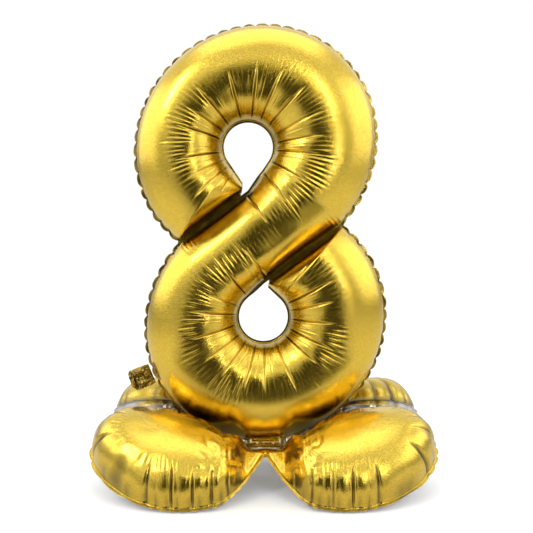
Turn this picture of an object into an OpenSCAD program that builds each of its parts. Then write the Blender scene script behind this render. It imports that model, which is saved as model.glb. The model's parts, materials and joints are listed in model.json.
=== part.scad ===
// Free-standing foil number balloon: an inflated figure eight held up by two pairs of
// inflated feet. Every chamber is two films welded round their edges, with a valve.
// Frame: +Z up, the floor is Z = 0, the front of the number faces -Y.

/* [Number] */
// Mean outer radius of each loop of the figure
loop_r = 194; // [170:1:220]
// How much longer than the mean a loop's long axis is, as a share of it
loop_stretch = 0.03; // [0:0.005:0.05]
// Slope of a loop's long axis above the horizontal
stretch_angle = 40; // [30:1:50]
// Distance between the centres of the two loops
loop_pitch = 281; // [250:1:310]
// Sideways step of the upper loop's centre to the left of the lower one's
loop_lean = 15; // [0:1:30]
// Slope of the diagonal band above the horizontal
band_angle = 36; // [30:0.5:40]
// Radius of the round part of each loop's hole
hole_r = 39; // [28:0.5:50]
// Step of the upper hole's centre to the left of its loop's centre
upper_hole_left = 12; // [0:1:15]
// Step of the upper hole's centre below its loop's centre
upper_hole_down = 3; // [0:1:15]
// Step of the lower hole's centre to the left of its loop's centre
lower_hole_left = 3; // [0:1:15]
// Step of the lower hole's centre above its loop's centre
lower_hole_up = 8; // [0:1:15]
// Thickness of the inflated number, front to back, without its welds
tube_depth = 118; // [90:1:140]
// Height of the number's lowest point above the floor
number_lift = 53; // [50:1:75]

/* [Film] */
// Thickness that each film is drawn with
film_t = 0.4; // [0.3:0.1:0.8]
// Width of the flat weld round each chamber
weld_w = 6; // [4:0.5:9]
// Gap left between welds that face each other
weld_gap = 0.6; // [0.3:0.1:2]

/* [Feet] */
// Width of one lobe, side to side
lobe_w = 232; // [190:1:250]
// Length of one lobe, from its inner weld to its outer one
lobe_l = 190; // [150:1:215]
// Distance of a lobe's centre from the middle of its pair
lobe_x = 148; // [130:1:175]
// Distance of a lobe's centre from the number's plane, along the slope
lobe_out = 101; // [98:1:125]
// How far a lobe's centre line turns back towards the number over its width
lobe_turn = 0.25; // [0:0.01:0.3]
// Height of the upper film over the weld at a front lobe's centre
front_lobe_top = 62; // [45:1:75]
// Height of the upper film over the weld at a rear lobe's centre
rear_lobe_top = 72; // [45:1:80]
// How far the floor presses the underside of a lobe flat
floor_press = 3; // [1:0.5:6]
// Slope of the front pair, falling away from the number
front_tilt = 28; // [22:0.5:34]
// Slope of the rear pair, falling away from the number
rear_tilt = 37; // [22:0.5:40]
// Height of a pair's outermost weld above the floor
rim_lift = 4; // [3:0.5:16]
// Gap between a foot and the number
foot_gap = 2; // [1:0.5:5]

/* [Neck] */
// Distance from the number's plane to the neck's inner weld, along the slope
neck_in = 40; // [32:1:46]
// Distance from the number's plane to the neck's outer weld, along the slope
neck_out = 92; // [80:1:110]
// Distance from the middle at which the neck's inner weld has opened into a lobe
neck_reach = 60; // [50:1:75]
// Distance from the middle at which the neck's outer weld has opened into a lobe
notch_reach = 80; // [65:1:95]
// Half height of the air channel in the neck
neck_h = 8; // [5:0.5:12]
// Width of the strap that joins the number to both necks
strap_w = 44; // [36:1:48]
// Height of the fin that grips the number's bottom weld
fin_h = 5; // [3:0.5:6]

/* [Valves] */
// Place of the number's valve round the lower loop, anticlockwise from +X
valve_angle = 207; // [198:1:212]
// Width of a valve's inner sleeve
sleeve_w = 26; // [18:1:32]
// Length of a valve's inner sleeve
sleeve_l = 62; // [40:1:75]
// Thickness of one ply of a sleeve
ply_t = 0.3; // [0.2:0.05:0.5]
// Width of a valve's tail
tail_w = 34; // [28:1:44]
// Length of a valve's tail
tail_l = 38; // [30:1:50]
// Width of the filling slot in a tail
mouth_w = 20; // [10:1:24]
// Distance of each foot valve to the left of the middle of its pair
foot_valve_x = 158; // [150:1:170]
// Length of a foot valve's tail
foot_tail_l = 28; // [24:1:34]
// How far the front feet's tail leans from the vertical towards the number's plane
tail_lean = 4; // [2:0.5:8]

/* [Hidden] */

gold = "goldenrod";
silver = "silver";
clear_film = "lightgray";

arc_steps = 12;       // facets across the number's tube
foot_arc_steps = 10;  // facets across a foot
loop_step = 9;        // degrees between rings round a loop
band_rings = 8;       // rings along the diagonal band
flat_rings = 3;       // rings from the middle to the end of the neck's flat
neck_rings = 13;      // rings from there to a lobe's centre
end_rings = 8;        // rings from a lobe's centre to its outer end
loop_start = 9;       // degrees from a hole's tip to the first ring
hinge_gap = 0.4;      // gap at a fold where two bodies meet
foot_tail_gap = 1.2;  // gap between a foot's weld and its valve's tail
sleeve_gap = 1.5;     // gap between a weld and the open end of a sleeve
end_inset = 2;        // distance from a lobe's outermost point to its last ring
tail_taper = 8;       // length over which a tail widens from its root
tail_corner = 5;      // size of a tail's cut corners
mouth_in = 13;        // distance from a tail's end to its filling slot
mouth_h = 5;          // height of the filling slot
neck_margin = 2;      // width of the neck's flat beyond each side of the strap
slit_heading = 0.05;  // least share of a ray's direction that counts as heading for a slit

// The lower loop's centre, and the point midway between the loops.
long_r = loop_r * (1 + loop_stretch);
short_r = loop_r * (1 - loop_stretch);
loop_drop = norm([long_r * sin(stretch_angle), short_r * cos(stretch_angle)]);
lower_centre = [0, number_lift + loop_drop];
half_pitch = [-loop_lean / 2, sqrt(pow(loop_pitch, 2) - pow(loop_lean, 2)) / 2];
crossing = lower_centre + half_pitch;

tube_half = tube_depth / 2;
lobe_half_w = lobe_w / 2;
lobe_half_l = lobe_l / 2;
arch_half_l = lobe_half_l - weld_w;
neck_flat = strap_w / 2 + neck_margin;
strap_z = number_lift - film_t;
tail_root = sleeve_w + weld_w;
tube_across = (loop_r - hole_r) / 2;

// Unit vectors along the band, downwards to the left, and across it, down to the right.
along = [-cos(band_angle), -sin(band_angle)];
across = [sin(band_angle), -cos(band_angle)];

// Each loop is drawn about the crossing point as the upper one lies. The lower loop
// is the same drawing turned half round, with its own hole.
// Squeezed along its long axis and eased along its short one, a loop's outline becomes a
// circle of radius 1, and the two outlines cross at the notches on both sides.
long_axis = [cos(stretch_angle), sin(stretch_angle)];
short_axis = [-sin(stretch_angle), cos(stretch_angle)];
function to_unit(p) = [p * long_axis / long_r, p * short_axis / short_r];
function from_unit(q) = q[0] * long_r * long_axis + q[1] * short_r * short_axis;
unit_pitch = to_unit(half_pitch);
notch = from_unit(sqrt(1 / (unit_pitch * unit_pitch) - 1) * [-unit_pitch[1], unit_pitch[0]]);
slit_c = notch * across;
upper_hole = half_pitch + [-upper_hole_left, -upper_hole_down];
lower_hole = half_pitch + [lower_hole_left, -lower_hole_up];

lower_hole_centre = crossing - lower_hole;

function direction(a) = [cos(a), sin(a)];

// Where the hole's outline comes to a point on the slit, straight below its centre.
function hole_tip(hole) = [hole[0], (slit_c - hole[0] * across[0]) / across[1]];

// Distance from a hole's centre to its outline: a circle drawn out to the tip.
function hole_reach(hole, a) =
    let (
        drop = norm(hole_tip(hole) - hole),
        spread = acos(hole_r / drop),
        off = abs(a - 270) % 360,
        turn = min(off, 360 - off)
    ) turn < spread ? hole_r / cos(spread - turn) : hole_r;

// Distance from a hole's centre to the loop's outer outline.
function outline_reach(hole, a) =
    let (d = to_unit(direction(a)), m = to_unit(hole - half_pitch), dd = d * d, md = m * d)
    (sqrt(md * md + dd * (1 - m * m)) - md) / dd;

// Distance from a hole's centre to the straight line at c across the band, for the
// directions that head towards it.
function line_reach(hole, a, c) =
    let (closing = direction(a) * across)
    closing > slit_heading ? (c - hole * across) / closing : 2 * loop_r;

// Distance to the outer end of a ring: the outline, cut by the slits on both sides.
function outer_reach(hole, a) =
    min(outline_reach(hole, a), line_reach(hole, a, a > 90 ? slit_c - weld_gap : -slit_c));

// A ring is [inner end, outer end], both on the plane of the welds.
function loop_ring(hole, a) = [
    hole + direction(a) * hole_reach(hole, a),
    hole + direction(a) * outer_reach(hole, a)
];

loop_end_angle = band_angle - 90;

// Evenly spaced ring angles from one angle down to just before another.
function ring_angles(from, to) =
    let (n = ceil((from - to) / loop_step)) [for (i = [0 : n - 1]) from + (to - from) * i / n];

// The rings run clockwise from beside the hole's tip, past the left notch, over the loop
// and past the right notch, with a ring at each notch.
function upper_rings(hole) =
    let (
        left = (atan2(notch[1] - hole[1], notch[0] - hole[0]) + 360) % 360,
        right = atan2(-notch[1] - hole[1], -notch[0] - hole[0])
    ) [
        for (a = concat(
            ring_angles(270 - loop_start, left), ring_angles(left, right),
            ring_angles(right, loop_end_angle), [loop_end_angle]
        )) loop_ring(hole, a)
    ];

// Across the band a ring is square to it, and its ends run along the slits and then,
// past a hole's tip, along that hole's side.
function side_of_band(s, tip, end_s, end_c) =
    let (tip_s = tip * along)
    s > tip_s ? slit_c : slit_c + (end_c - slit_c) * (tip_s - s) / (tip_s - end_s);

function band_point(s, c) = along * s + across * c;

function band_rings_between() =
    let (
        a = loop_end_angle + 360,
        s0 = upper_hole * along,
        c0 = (upper_hole + direction(a) * hole_reach(upper_hole, a)) * across,
        s1 = -(lower_hole * along),
        c1 = (lower_hole + direction(a) * hole_reach(lower_hole, a)) * across
    ) [
        for (i = [1 : band_rings - 1])
            let (s = s0 + (s1 - s0) * i / band_rings)
            [
                band_point(s, side_of_band(s, hole_tip(upper_hole), s0, c0)),
                band_point(s, -side_of_band(-s, hole_tip(lower_hole), -s1, c1))
            ]
    ];

function half_turn(rings) = [
    for (i = [len(rings) - 1 : -1 : 0]) [-rings[i][1], -rings[i][0]]
];

number_rings = concat(
    upper_rings(upper_hole), band_rings_between(), half_turn(upper_rings(lower_hole))
);

// The section of one film, from its flat weld over the inflated arch and back inside.
// Each point is [across, height, skin], where skin is 0 outside and 1 inside.
function film_section(half, height, steps) =
    let (reach = half - weld_w, inner = reach - film_t, rise = height - film_t)
    concat(
        [[-half, 0, 1], [-half, film_t, 0]],
        [for (i = [0 : steps]) let (a = 180 - 180 * i / steps) [reach * cos(a), film_t + rise * sin(a), 0]],
        [[half, film_t, 0], [half, 0, 1]],
        [for (i = [0 : steps]) let (a = 180 * i / steps) [inner * cos(a), rise * sin(a), 1]]
    );

// The solid through a list of rings of points that film_section() ordered. Both skins
// split their facets along the same diagonals. Two films that lie on each other split
// their welds alike too, with one of the films flipped.
module film(rings, steps, flipped) {
    size = len(rings[0]);
    last = len(rings) - 1;
    sides = [
        for (i = [0 : last - 1], j = [0 : size - 1])
            let (
                a = i * size + j, b = i * size + (j + 1) % size, c = b + size, d = a + size,
                outside = j < steps + 4
            )
            each outside != flipped ? [[a, b, d], [b, c, d]] : [[a, b, c], [a, c, d]]
    ];
    cap = concat(
        [for (i = [0 : steps - 1]) each [
            [2 + i, 3 + i, 2 * steps + 5 - i], [3 + i, 2 * steps + 4 - i, 2 * steps + 5 - i]
        ]],
        [[0, 1, 2], [0, 2, size - 1], [steps + 2, steps + 3, steps + 4], [steps + 2, steps + 4, steps + 5]]
    );
    start = [for (f = cap) [f[2], f[1], f[0]]];
    end = [for (f = cap) [for (v = f) v + last * size]];
    polyhedron(points = [for (r = rings) each r], faces = concat(sides, start, end));
}

// How full the tube is at a ring: all the way round the loops, less near the slits.
function tube_height(width) =
    max(2 * film_t, tube_half * sqrt(min(1, (width - 2 * weld_w) / (2 * tube_across - 2 * weld_w))));

module number_film(side) {
    film([
        for (r = number_rings)
            let (
                a = crossing + r[0], b = crossing + r[1],
                mid = (a + b) / 2, d = (b - a) / norm(b - a), half = norm(b - a) / 2
            )
            [
                for (p = side > 0 ? mirrored(film_section(half, tube_height(2 * half), arc_steps))
                                  : film_section(half, tube_height(2 * half), arc_steps))
                    [mid[0] + d[0] * p[0], side * p[1], mid[1] + d[1] * p[0]]
            ]
    ], arc_steps, side > 0);
}

// The same section seen from behind, so that the faces still look outwards.
function mirrored(section) = [for (p = section) [-p[0], p[1], p[2]]];

module number_front_film() {
    color(gold) number_film(-1);
}

module number_back_film() {
    color(gold) number_film(1);
}

// ---- The number's valve, drawn at the lower loop's weld with +X pointing outwards.

// The lower loop is drawn half a turn round, so its rings' angles are too.
function lower_outline(a) =
    lower_hole_centre + direction(a) * outline_reach(lower_hole, a + 180);

valve_place = lower_outline(valve_angle);
valve_chord = lower_outline(valve_angle + 1) - lower_outline(valve_angle - 1);
valve_turn = atan2(-valve_chord[0], valve_chord[1]);

module at_number_valve() {
    translate([valve_place[0], 0, valve_place[1]])
        rotate([0, -valve_turn, 0])
            children();
}

// A sleeve ply lies in the XZ plane, with its open end at the origin, and runs along -X.
module sleeve_ply() {
    rotate([90, 0, 0])
        linear_extrude(ply_t)
            union() {
                translate([sleeve_w / 2 - sleeve_l, -sleeve_w / 2])
                    square([sleeve_l - sleeve_w / 2, sleeve_w]);
                translate([sleeve_w / 2 - sleeve_l, 0])
                    circle(d = sleeve_w, $fn = 32);
            }
}

// A tail lies in the XZ plane and runs along +X from its narrow root. The filling slot
// is cut through the ply that faces -Y only.
module valve_tail(length, gap) {
    difference() {
        rotate([90, 0, 0])
            linear_extrude(2 * film_t, center = true)
                polygon([
                    [gap, -tail_root / 2], [tail_taper, -tail_w / 2],
                    [length - tail_corner, -tail_w / 2], [length, -tail_w / 2 + tail_corner],
                    [length, tail_w / 2 - tail_corner], [length - tail_corner, tail_w / 2],
                    [tail_taper, tail_w / 2], [gap, tail_root / 2]
                ]);
        translate([length - mouth_in, -2 * film_t, -mouth_w / 2])
            cube([mouth_h, 2 * film_t, mouth_w]);
    }
}

module number_valve_front_ply() {
    color(clear_film)
        at_number_valve()
            translate([-weld_w - sleeve_gap, 0, 0])
                sleeve_ply();
}

module number_valve_back_ply() {
    color(clear_film)
        at_number_valve()
            translate([-weld_w - sleeve_gap, ply_t, 0])
                sleeve_ply();
}

module number_valve_tail() {
    color(gold)
        at_number_valve()
            valve_tail(tail_l, hinge_gap);
}

// ---- Feet: each pair is drawn on its own sloping plane, side is -1 in front, 1 behind.

function tilt(side) = side < 0 ? front_tilt : rear_tilt;

// Height of a pair's plane where it meets the number's plane.
function pair_top(side) = rim_lift + (lobe_out + lobe_half_l) * sin(tilt(side));

// Height of a lobe's centre, and how deep its lower film must hang to reach the floor
// and be pressed flat on it.
function lobe_mid_z(side) = rim_lift + lobe_half_l * sin(tilt(side));
function lobe_bottom(side) =
    sqrt(pow(lobe_mid_z(side) + floor_press, 2) - pow(arch_half_l * sin(tilt(side)), 2)) / cos(tilt(side));

// From 0 in the flat of the neck to 1 where the neck has opened into a lobe.
function opening(x) =
    let (u = max(0, min(1, (abs(x) - neck_flat) / (neck_reach - neck_flat))))
    u * u * (3 - 2 * u);

// A lobe's half length at x, and the middle of it, measured out along the slope.
function lobe_half(x) = lobe_half_l * sqrt(max(0, 1 - pow((abs(x) - lobe_x) / lobe_half_w, 2)));
function lobe_mid(x) = lobe_out - (abs(x) - lobe_x) * lobe_turn;

function pair_inner(x) =
    let (r = max(abs(x), neck_reach)) neck_in + (lobe_mid(r) - lobe_half(r) - neck_in) * opening(x);
function pair_outer(x) =
    let (r = max(abs(x), notch_reach))
    neck_out + (lobe_mid(r) + lobe_half(r) - neck_out) * sin(90 * min(1, abs(x) / notch_reach));

// How far the neck's inner weld is lowered, so that it meets the strap's end from below.
function neck_drop(side) = pair_top(side) - neck_in * sin(tilt(side)) - strap_z + film_t;

// The share of that which is left at a point: none in the lobes or at the outer weld.
function fall_left(x, q) =
    (1 - opening(x)) * max(0, 1 - max(0, q - neck_in - weld_w) / (neck_out - neck_in - weld_w));

// A point of a pair: x across it, q out along the slope, h square to the slope.
function on_pair(side, x, q, h) =
    let (t = tilt(side), fall = neck_drop(side) * fall_left(x, q))
    [x, side * (q * cos(t) + h * sin(t)), pair_top(side) - q * sin(t) + h * cos(t) - fall];

// The same plane for children: X across, Y out along the slope, Z square to it.
module on_slope(side, fall) {
    mirror([0, side < 0 ? 1 : 0, 0])
        translate([0, 0, pair_top(side) - fall])
            rotate([-tilt(side), 0, 0])
                children();
}

// Moves a point that lies in the number's tube out to foot_gap from it.
function clear_of_number(p, extra) =
    let (
        q = [p[0], p[2]] - lower_hole_centre,
        a = atan2(-q[1], -q[0]),
        mid = (outline_reach(lower_hole, a) + hole_r) / 2,
        half = mid - hole_r,
        wide = half + foot_gap + extra,
        deep = tube_half + foot_gap + extra,
        u = (norm(q) - mid) / wide,
        v = p[1] / deep,
        k = norm([u, v])
    )
    k >= 1 || u < 0 ? p
    : let (r = lower_hole_centre + q * (mid + wide * u / k) / norm(q)) [r[0], deep * v / k, r[1]];

// Where a foot would dip under the floor it lies flat on it.
function above_floor(p, low) = [p[0], p[1], max(p[2], low)];

// Places of the rings from the middle outwards, closer together at a lobe's outer end.
half_stations = concat(
    [for (i = [1 : flat_rings]) neck_flat * i / flat_rings],
    [for (i = [1 : neck_rings]) neck_flat + (lobe_x - neck_flat) * i / neck_rings],
    [for (i = [1 : end_rings]) lobe_x + (lobe_half_w - end_inset) * sin(90 * i / end_rings)]
);
pair_stations = concat(
    [for (i = [len(half_stations) - 1 : -1 : 0]) -half_stations[i]], [0], half_stations
);

// Height of a film's arch at x, from the neck's channel to a full lobe.
function arch_height(x, half, full) =
    let (lobe = full * sqrt(max(0, half - weld_w) / arch_half_l))
    max(2 * film_t, neck_h + (lobe - neck_h) * opening(x));

module pair_film(side, up) {
    full = up < 0 ? lobe_bottom(side) : side < 0 ? front_lobe_top : rear_lobe_top;
    film([
        for (x = pair_stations)
            let (
                q0 = pair_inner(x), q1 = pair_outer(x), mid = (q0 + q1) / 2,
                half = max(weld_w + 3 * film_t, (q1 - q0) / 2),
                s = film_section(half, arch_height(x, half, full), foot_arc_steps)
            )
            [
                for (p = side * up > 0 ? s : mirrored(s))
                    above_floor(
                        clear_of_number(on_pair(side, x, mid + p[0], up * p[1]), p[2] * film_t),
                        p[2] * film_t
                    )
            ]
    ], foot_arc_steps, side * up < 0);
}

module front_feet_upper_film() {
    color(gold) pair_film(-1, 1);
}

module front_feet_lower_film() {
    color(silver) pair_film(-1, -1);
}

module rear_feet_upper_film() {
    color(gold) pair_film(1, 1);
}

module rear_feet_lower_film() {
    color(silver) pair_film(1, -1);
}

// ---- Foot valves: on the left, in the weld of each pair that faces backwards.

function valve_rim(side, x) = side < 0 ? pair_inner(x) : pair_outer(x);
function rim_slant(side) =
    let (d = tail_root / 2)
    atan((valve_rim(side, d - foot_valve_x) - valve_rim(side, -d - foot_valve_x)) / (2 * d));

// At a foot's valve, with -Y pointing out of the lobe across its weld.
module at_foot_valve(side) {
    on_slope(side, 0)
        translate([-foot_valve_x, valve_rim(side, -foot_valve_x), 0])
            rotate([0, 0, rim_slant(side) + (side < 0 ? 0 : 180)])
                children();
}

module foot_ply(side, h) {
    color(clear_film)
        at_foot_valve(side)
            translate([0, weld_w + sleeve_gap, h])
                rotate([90, 0, -90])
                    sleeve_ply();
}

module front_feet_valve_upper_ply() {
    foot_ply(-1, 0);
}

module front_feet_valve_lower_ply() {
    foot_ply(-1, -ply_t);
}

module rear_feet_valve_upper_ply() {
    foot_ply(1, 0);
}

module rear_feet_valve_lower_ply() {
    foot_ply(1, -ply_t);
}

// How far the rear tail's end may drop before its lower corner meets the floor.
function tail_drop(side) =
    pair_top(side) - valve_rim(side, -foot_valve_x) * sin(tilt(side)) - 2 * film_t
        - abs(sin(rim_slant(side))) * sin(tilt(side)) * tail_w / 2;

// How far a tail is folded down from the plane of its pair. In front it hangs in the
// space between the pairs, and behind it slopes down to the floor.
function tail_fold(side) =
    side < 0 ? 90 + tilt(side) - tail_lean : asin(tail_drop(side) / foot_tail_l) - tilt(side);

module foot_tail(side) {
    color(silver)
        at_foot_valve(side)
            rotate([tail_fold(side), 0, 0])
                rotate([0, 0, -90])
                    rotate([90, 0, 0])
                        valve_tail(foot_tail_l, foot_tail_gap);
}

module front_feet_valve_tail() {
    foot_tail(-1);
}

module rear_feet_valve_tail() {
    foot_tail(1);
}

// ---- The link: a strap under the number, folded up on both sides of its bottom weld,
// and a pad that tapes each neck to an end of the strap.

function hinge_y(side) = neck_in * cos(tilt(side));

module link_strap() {
    color(gold)
        union() {
            translate([-strap_w / 2, hinge_gap - hinge_y(-1), strap_z])
                cube([strap_w, hinge_y(-1) + hinge_y(1) - 2 * hinge_gap, film_t]);
            for (y = [-2 * film_t, film_t])
                translate([-strap_w / 2, y, strap_z])
                    cube([strap_w, film_t, film_t + fin_h]);
        }
}

module joint_pad(side) {
    color(clear_film)
        on_slope(side, neck_drop(side))
            translate([-strap_w / 2, neck_in + hinge_gap, film_t])
                cube([strap_w, weld_w - 2 * hinge_gap, film_t]);
}

module front_joint_pad() {
    joint_pad(-1);
}

module rear_joint_pad() {
    joint_pad(1);
}

number_front_film();
number_back_film();
number_valve_front_ply();
number_valve_back_ply();
number_valve_tail();
link_strap();
front_feet_upper_film();
front_feet_lower_film();
front_feet_valve_upper_ply();
front_feet_valve_lower_ply();
front_feet_valve_tail();
front_joint_pad();
rear_feet_upper_film();
rear_feet_lower_film();
rear_feet_valve_upper_ply();
rear_feet_valve_lower_ply();
rear_feet_valve_tail();
rear_joint_pad();
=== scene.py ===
import math
import json
import bmesh
import bpy
import numpy as np
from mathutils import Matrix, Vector


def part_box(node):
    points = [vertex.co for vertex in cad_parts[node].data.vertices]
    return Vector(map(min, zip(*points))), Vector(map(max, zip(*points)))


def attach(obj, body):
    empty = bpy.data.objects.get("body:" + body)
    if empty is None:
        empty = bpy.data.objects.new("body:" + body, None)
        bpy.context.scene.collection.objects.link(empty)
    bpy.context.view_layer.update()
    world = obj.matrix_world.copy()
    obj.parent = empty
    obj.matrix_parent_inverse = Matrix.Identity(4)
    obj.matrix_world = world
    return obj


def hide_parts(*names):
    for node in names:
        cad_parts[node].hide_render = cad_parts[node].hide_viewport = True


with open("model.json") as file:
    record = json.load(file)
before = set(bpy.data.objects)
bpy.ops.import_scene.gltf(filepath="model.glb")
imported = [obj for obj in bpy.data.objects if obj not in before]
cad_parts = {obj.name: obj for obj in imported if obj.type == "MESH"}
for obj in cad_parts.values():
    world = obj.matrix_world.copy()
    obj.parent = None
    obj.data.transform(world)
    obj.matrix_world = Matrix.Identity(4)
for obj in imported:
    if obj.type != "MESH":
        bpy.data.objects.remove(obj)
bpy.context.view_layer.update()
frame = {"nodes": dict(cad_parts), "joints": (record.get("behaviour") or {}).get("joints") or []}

MM = 0.001

# ---------------------------------------------------------------- camera
CAMERA_AT = (0.00196, -1.1752, 0.3661)
CAMERA_DOWN = 1.555
camera_data = bpy.data.cameras.new("camera")
camera_data.sensor_width = 36
camera_data.lens = 49.72
camera = bpy.data.objects.new("camera", camera_data)
camera.location = CAMERA_AT
camera.rotation_euler = (math.radians(90 - CAMERA_DOWN), 0, 0)
bpy.context.scene.collection.objects.link(camera)
bpy.context.scene.camera = camera
bpy.context.scene.view_settings.view_transform = "Standard"


# ---------------------------------------------------------------- numbers and noise
def smooth(a, b, x):
    """0 before a and 1 after b, with an eased step between."""
    t = np.clip((x - a) / (b - a), 0, 1)
    return t * t * (3 - 2 * t)


def window(x, a, b, c, d):
    """0 before a, 1 from b to c, 0 after d."""
    return smooth(a, b, x) * (1 - smooth(c, d, x))


def lattice(i, j, seed):
    """A repeatable value from -1 to 1 at each pair of whole numbers."""
    n = (i.astype(np.int64) * 73856093) ^ (j.astype(np.int64) * 19349663) ^ (seed * 83492791)
    n = (n ^ (n >> 13)) * 1274126177 & 0x7FFFFFFF
    n = (n ^ (n >> 16)) * 668265263 & 0x7FFFFFFF
    return (n ^ (n >> 15)) % 65536 / 32767.5 - 1


def noise(x, y, seed):
    """Smooth noise from -1 to 1 with features one unit wide."""
    x, y = np.broadcast_arrays(np.asarray(x, float), np.asarray(y, float))
    i, j = np.floor(x), np.floor(y)
    u, v = x - i, y - j
    u, v = u * u * (3 - 2 * u), v * v * (3 - 2 * v)
    a, b = lattice(i, j, seed), lattice(i + 1, j, seed)
    c, d = lattice(i, j + 1, seed), lattice(i + 1, j + 1, seed)
    return (a * (1 - u) + b * u) * (1 - v) + (c * (1 - u) + d * u) * v


def per_pleat(k, seed):
    """A value from 0 to 1 for each pleat number."""
    return lattice(np.asarray(k), np.zeros_like(k), seed) / 2 + 0.5


def ridged(x, y, seed):
    """Sharp creases between rounded cells, 0 in a crease and up to 1 between."""
    return np.abs(noise(x, y, seed)) * 1.4


# ---------------------------------------------------------------- mesh helpers
def grid_faces(rows, columns, base=0):
    """The four-sided faces of a grid of points, row by row."""
    i, j = np.meshgrid(np.arange(rows - 1), np.arange(columns - 1), indexing="ij")
    a = (base + i * columns + j).ravel()
    return np.stack([a, a + 1, a + columns + 1, a + columns], axis=1)


def build(name, grids, material, body, outward, replaced=(), merge=False, shade=None):
    """One piece from point grids in millimetres; outward is a rough direction its faces look in."""
    verts, faces = [], []
    base = 0
    for g in grids:
        rows, columns = g.shape[:2]
        verts.append(g.reshape(-1, 3))
        faces.append(grid_faces(rows, columns, base))
        base += rows * columns
    verts, faces = np.concatenate(verts) * MM, np.concatenate(faces)
    p = verts[faces]
    normal = np.cross(p[:, 2] - p[:, 0], p[:, 3] - p[:, 1])
    if (normal @ np.array(outward, float)).sum() < 0:
        faces = faces[:, ::-1]
    mesh = bpy.data.meshes.new(name)
    mesh.from_pydata(verts.tolist(), [], faces.tolist())
    if shade is not None:
        # each point's painted shade, which the film materials mix in
        layer = mesh.attributes.new("fold", "FLOAT", "POINT")
        layer.data.foreach_set("value", np.concatenate([s.ravel() for s in shade]).astype(np.float32))
    if merge:
        bm = bmesh.new()
        bm.from_mesh(mesh)
        bmesh.ops.remove_doubles(bm, verts=bm.verts, dist=2e-6)
        bmesh.ops.dissolve_degenerate(bm, edges=bm.edges, dist=1e-7)
        bm.to_mesh(mesh)
        bm.free()
    mesh.polygons.foreach_set("use_smooth", [True] * len(mesh.polygons))
    mesh.materials.append(material)
    piece = bpy.data.objects.new(name, mesh)
    bpy.context.scene.collection.objects.link(piece)
    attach(piece, body)
    if replaced:
        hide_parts(*replaced)
    return piece


# ---------------------------------------------------------------- materials
def new_material(name):
    m = bpy.data.materials.new(name)
    m.use_nodes = True
    shader = next(n for n in m.node_tree.nodes if n.type == "BSDF_PRINCIPLED")
    return m, m.node_tree, shader


def noise_node(tree, scale, detail=3.0, rough=0.5, stretch=None):
    coord = tree.nodes.new("ShaderNodeTexCoord")
    out = coord.outputs["Object"]
    if stretch:
        mapping = tree.nodes.new("ShaderNodeMapping")
        mapping.inputs["Scale"].default_value = stretch
        tree.links.new(out, mapping.inputs["Vector"])
        out = mapping.outputs["Vector"]
    node = tree.nodes.new("ShaderNodeTexNoise")
    node.inputs["Scale"].default_value = scale
    node.inputs["Detail"].default_value = detail
    node.inputs["Roughness"].default_value = rough
    tree.links.new(out, node.inputs["Vector"])
    return node.outputs["Fac"]


def remap(tree, value, low, high, to_low, to_high):
    node = tree.nodes.new("ShaderNodeMapRange")
    for key, v in (("From Min", low), ("From Max", high), ("To Min", to_low), ("To Max", to_high)):
        node.inputs[key].default_value = v
    tree.links.new(value, node.inputs["Value"])
    return node.outputs["Result"]


def mix_colour(tree, factor, a, b):
    node = tree.nodes.new("ShaderNodeMix")
    node.data_type = "RGBA"
    tree.links.new(factor, node.inputs["Factor"])
    for socket, c in (("A", a), ("B", b)):
        if isinstance(c, tuple):
            node.inputs[socket].default_value = (*c, 1)
        else:
            tree.links.new(c, node.inputs[socket])
    return node.outputs["Result"]


def film_material(name, light, deep, crease, rough, grain_bump):
    """Metallised film: fine speckle, cloudy gloss, and painted shade mixed in by each point's shade
    amount (deep in pleats and slits, on welds, near the number).
    """
    m, tree, shader = new_material(name)
    speckle = remap(tree, noise_node(tree, 640, 2, 0.6), 0.38, 0.62, 0, 1)
    cloud = remap(tree, noise_node(tree, 16, 3), 0.35, 0.65, 0, 1)
    colour = mix_colour(tree, speckle, light, deep)
    blend = remap(tree, cloud, 0, 1, 0.0, 0.35)
    colour = mix_colour(tree, blend, colour, deep)
    # painted shade: the colour goes towards the dark shade colour where the per-point shade amount is
    # high
    fold = tree.nodes.new("ShaderNodeAttribute")
    fold.attribute_name = "fold"
    painted_shade_amount = remap(tree, fold.outputs["Fac"], 0.12, 1.0, 0, 0.88)
    colour = mix_colour(tree, painted_shade_amount, colour, crease)
    tree.links.new(colour, shader.inputs["Base Color"])
    shader.inputs["Metallic"].default_value = 1.0
    gloss = remap(tree, noise_node(tree, 60, 4), 0.3, 0.7, rough[0], rough[1])
    tree.links.new(gloss, shader.inputs["Roughness"])
    shader.inputs["Coat Weight"].default_value = 0.5
    shader.inputs["Coat Roughness"].default_value = 0.12
    bump = tree.nodes.new("ShaderNodeBump")
    bump.inputs["Strength"].default_value = grain_bump
    bump.inputs["Distance"].default_value = 0.0004
    tree.links.new(noise_node(tree, 620, 3, 0.7), bump.inputs["Height"])
    tree.links.new(bump.outputs["Normal"], shader.inputs["Normal"])
    return m


# each film's third colour is its painted shade colour, nearly black for gold
gold = film_material(
    "gold_foil", (0.97, 0.71, 0.085), (0.70, 0.46, 0.04), (0.075, 0.052, 0.022), (0.12, 0.19), 0.55)
silver = film_material(
    "silver_foil", (0.86, 0.86, 0.87), (0.74, 0.74, 0.76), (0.4, 0.4, 0.42), (0.2, 0.3), 0.3)


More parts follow.
